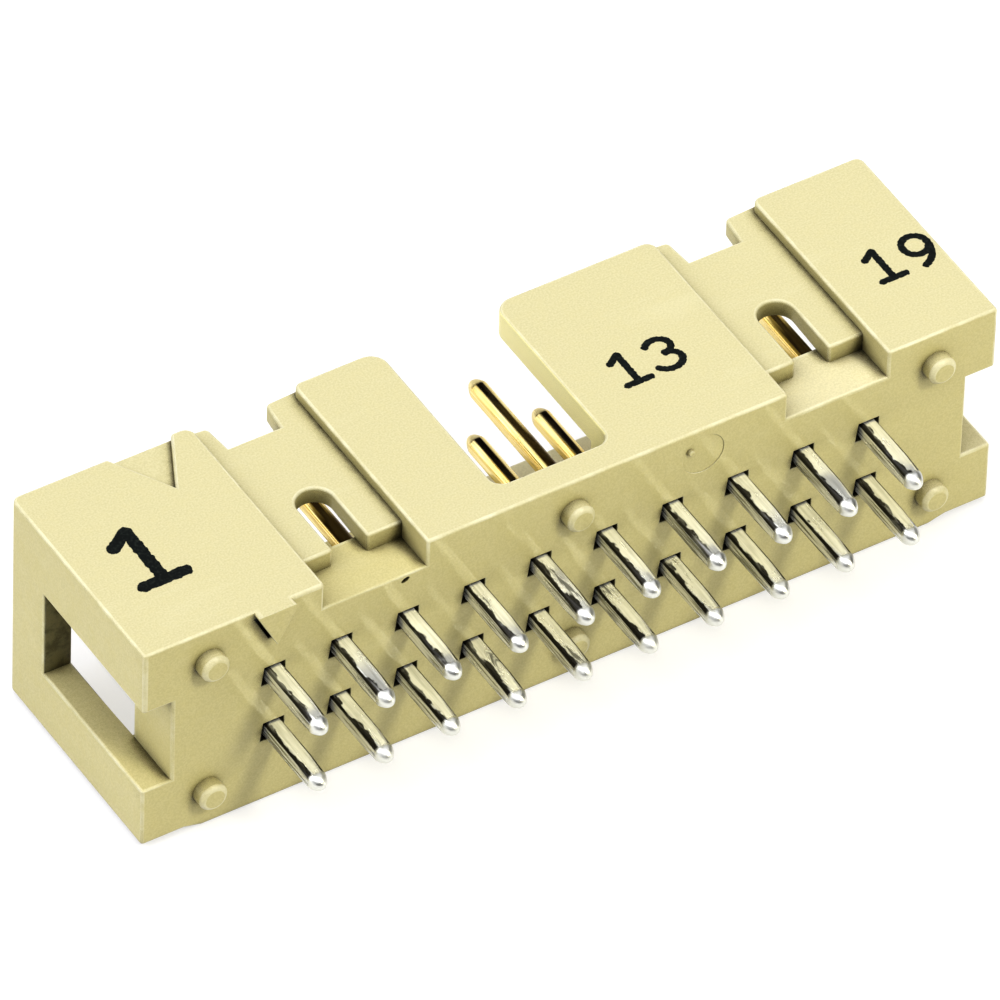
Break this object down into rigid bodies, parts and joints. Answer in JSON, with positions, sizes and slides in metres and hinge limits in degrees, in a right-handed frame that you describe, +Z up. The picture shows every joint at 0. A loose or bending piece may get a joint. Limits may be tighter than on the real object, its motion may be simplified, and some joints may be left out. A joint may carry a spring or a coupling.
{
  "type": "male pin header",
  "caption": "Shrouded two-row board header with square contacts, straight solder pins, a polarising slot and two latching windows.",
  "frame": {"origin": "centre of the underside of the part's box, with the header lying on its plain long wall", "axes": "+X along the rows from contact 1's end, +Y from the solder pins towards the mating opening, +Z up from the plain wall to the keyed wall"},
  "size_m": [0.0328, 0.0118, 0.0088],
  "materials": {
    "housing": "moulded ivory thermoplastic, satin to glossy",
    "contact": "copper alloy, gold on the mating end and bright tin on the solder end"
  },
  "bodies": {
    "root": {"housing": "housing", "contact_01": "contact", "contact_02": "contact", "contact_03": "contact", "contact_04": "contact", "contact_05": "contact", "contact_06": "contact", "contact_07": "contact", "contact_08": "contact", "contact_09": "contact", "contact_10": "contact", "contact_11": "contact", "contact_12": "contact", "contact_13": "contact", "contact_14": "contact", "contact_15": "contact", "contact_16": "contact", "contact_17": "contact", "contact_18": "contact", "contact_19": "contact", "contact_20": "contact"}
  },
  "joints": []
}
